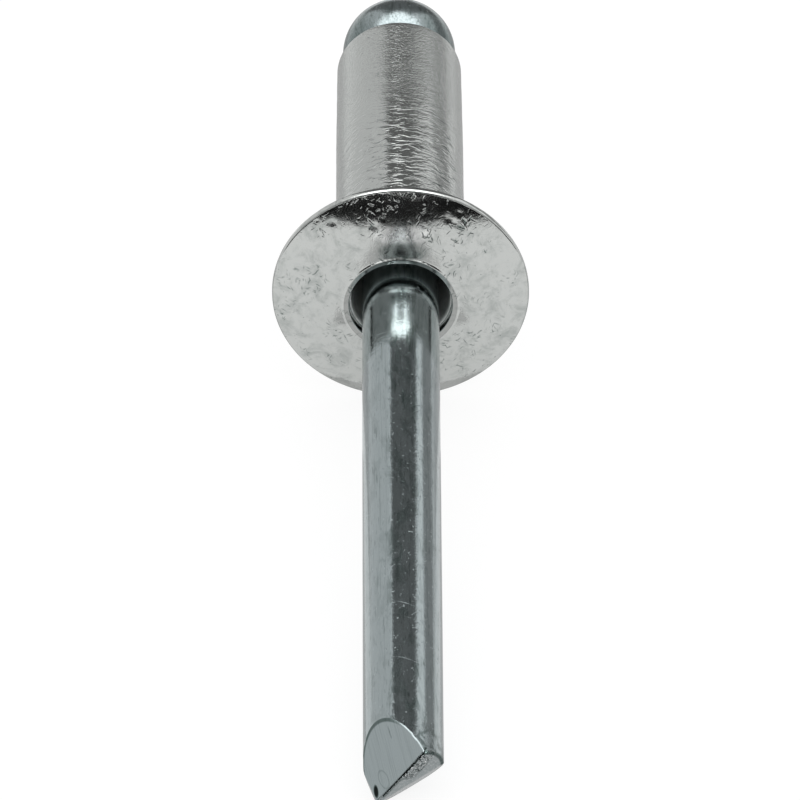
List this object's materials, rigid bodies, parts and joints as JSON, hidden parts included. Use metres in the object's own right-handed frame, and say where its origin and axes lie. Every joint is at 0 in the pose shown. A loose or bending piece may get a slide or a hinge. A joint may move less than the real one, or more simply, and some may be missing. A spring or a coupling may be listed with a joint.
{
  "type": "blind rivet",
  "caption": "Blind rivet with a hollow shank, a thin domed flange and a pull-through steel nail with a ball head, coined break neck and pinch-cut tip",
  "frame": {"origin": "on the ground under the middle of the lying rivet's box, +Z up", "axes": "+Y points along the ground from the nail's cut tip to the blind end; the rivet's own axis leans up from it because it rests on the flange rim and the nail's tip; +X is to the right seen from the tip"},
  "size_m": [0.0096, 0.0462, 0.0095],
  "materials": {
    "body_metal": "drawn and tumbled, handling marks",
    "nail_metal": "bright blue-grey zinc plate, lightly scuffed"
  },
  "bodies": {
    "root": {"rivet_body": "body_metal", "mandrel": "nail_metal"}
  },
  "joints": []
}
